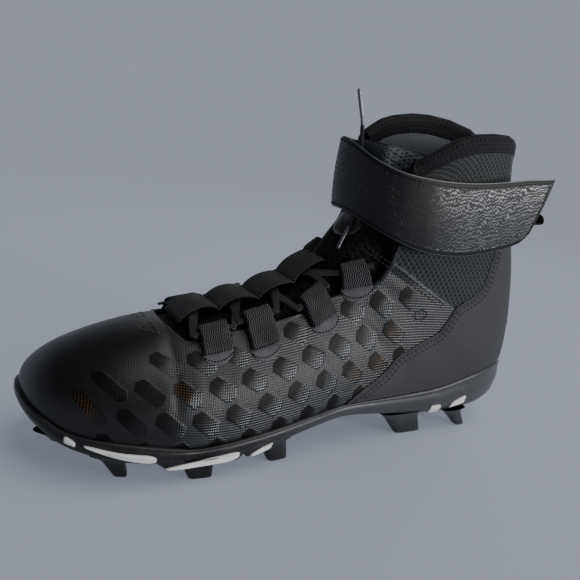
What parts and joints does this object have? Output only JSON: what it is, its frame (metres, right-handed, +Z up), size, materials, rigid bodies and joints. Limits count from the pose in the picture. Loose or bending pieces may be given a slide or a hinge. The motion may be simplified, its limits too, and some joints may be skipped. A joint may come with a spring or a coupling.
{
  "type": "american football cleat",
  "caption": "Left high-top field shoe: hollow textile upper, studded rubber sole, laced throat, ankle strap and heel pull loop.",
  "frame": {"origin": "under the middle of the shoe, on the plane of the stud tips", "axes": "+X towards the toe, +Y towards the lateral side, which is the wearer's left, +Z up"},
  "size_m": [0.3298, 0.103, 0.2008],
  "materials": {
    "upper_textile": "fused film over fine textile",
    "sole_rubber": "satin",
    "insole_fabric": "woven",
    "tongue_mesh": "open mesh",
    "counter_synthetic": "matte",
    "strap_synthetic": "embossed",
    "insert_plastic": "speckled",
    "webbing": "ribbed",
    "lace_cord": "woven",
    "aglet_plastic": "gloss"
  },
  "bodies": {
    "root": {"upper": "upper_textile", "outsole": "sole_rubber", "insole": "insole_fabric", "tongue": "tongue_mesh", "heel_counter": "counter_synthetic", "lace_keeper": "webbing", "lace": "lace_cord", "ankle_strap": "strap_synthetic", "heel_webbing": "webbing", "heel_pull_loop": "webbing", "sole_insert_lateral_1": "insert_plastic", "sole_insert_lateral_2": "insert_plastic", "sole_insert_lateral_3": "insert_plastic", "sole_insert_lateral_4": "insert_plastic", "sole_insert_lateral_5": "insert_plastic", "sole_insert_lateral_6": "insert_plastic", "lace_loop_lateral_1": "webbing", "lace_loop_lateral_2": "webbing", "lace_loop_lateral_3": "webbing", "lace_loop_lateral_4": "webbing", "sole_insert_medial_1": "insert_plastic", "sole_insert_medial_2": "insert_plastic", "sole_insert_medial_3": "insert_plastic", "sole_insert_medial_4": "insert_plastic", "sole_insert_medial_5": "insert_plastic", "sole_insert_medial_6": "insert_plastic", "lace_loop_medial_1": "webbing", "lace_loop_medial_2": "webbing", "lace_loop_medial_3": "webbing", "lace_loop_medial_4": "webbing", "lace_end_free": "lace_cord", "lace_end_free_aglet": "aglet_plastic", "lace_end_tucked": "lace_cord", "lace_end_tucked_aglet": "aglet_plastic"}
  },
  "joints": []
}
